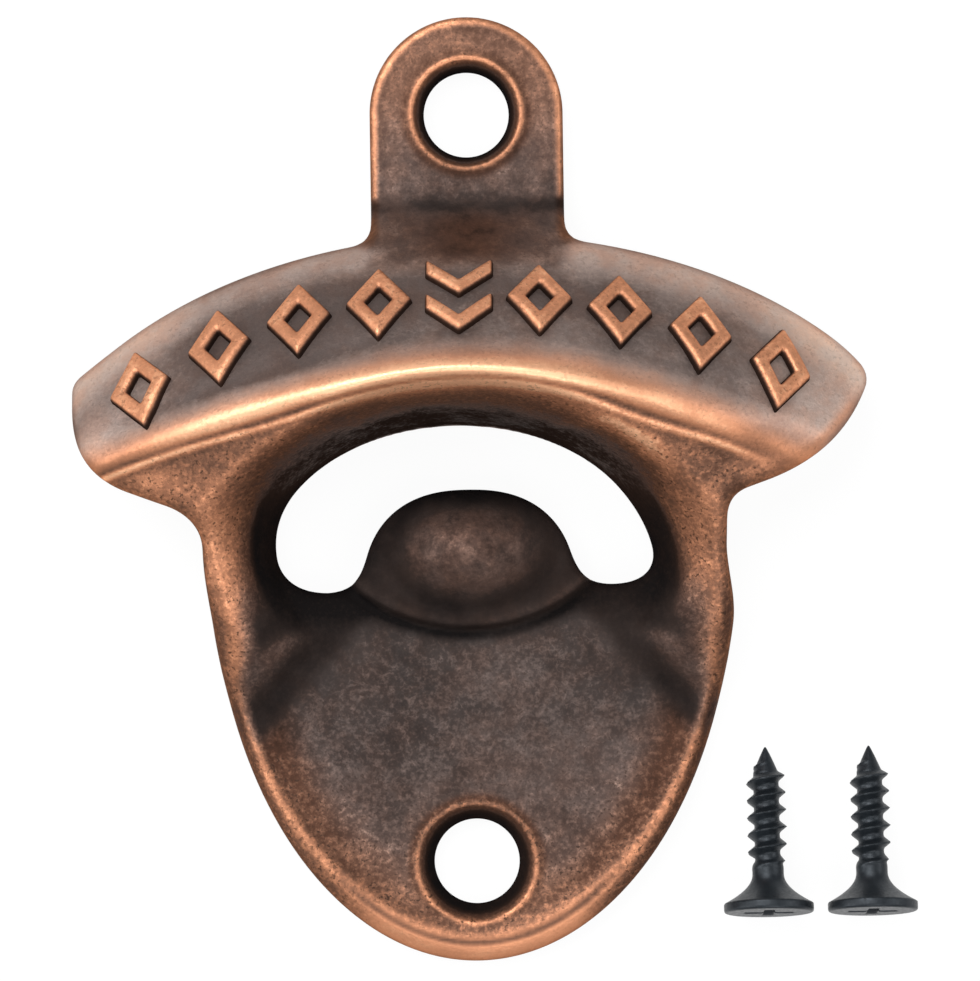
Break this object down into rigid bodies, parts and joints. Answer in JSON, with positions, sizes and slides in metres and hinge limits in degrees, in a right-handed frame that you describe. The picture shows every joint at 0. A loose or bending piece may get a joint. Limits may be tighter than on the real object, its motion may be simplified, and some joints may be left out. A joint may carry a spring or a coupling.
{
  "type": "wall-mounted bottle opener",
  "caption": "Cast hood opener for crown caps: fixing tab, sloped visor, flared cap pocket with a lifting tongue, rimmed plate, and its loose bugle-head screws.",
  "frame": {"origin": "on the wall face, midway between the two screw holes", "axes": "+Z out of the wall, +Y up the wall towards the tab, +X to the right as seen from the front"},
  "size_m": [0.0726, 0.082, 0.019],
  "materials": {
    "antique_copper": "antique copper plating with a dark patina, worn bright on the edges",
    "black_screw": "black phosphate"
  },
  "bodies": {
    "casting": {"opener_body": "antique_copper"},
    "left_screw": {"screw_left": "black_screw"},
    "right_screw": {"screw_right": "black_screw"}
  },
  "joints": [
    {"name": "left_screw_lift", "type": "slide", "parent": "casting", "child": "left_screw", "axis": [0, 0, 1], "range_m": [0, 0.04]},
    {"name": "right_screw_lift", "type": "slide", "parent": "casting", "child": "right_screw", "axis": [0, 0, 1], "range_m": [0, 0.04]}
  ]
}
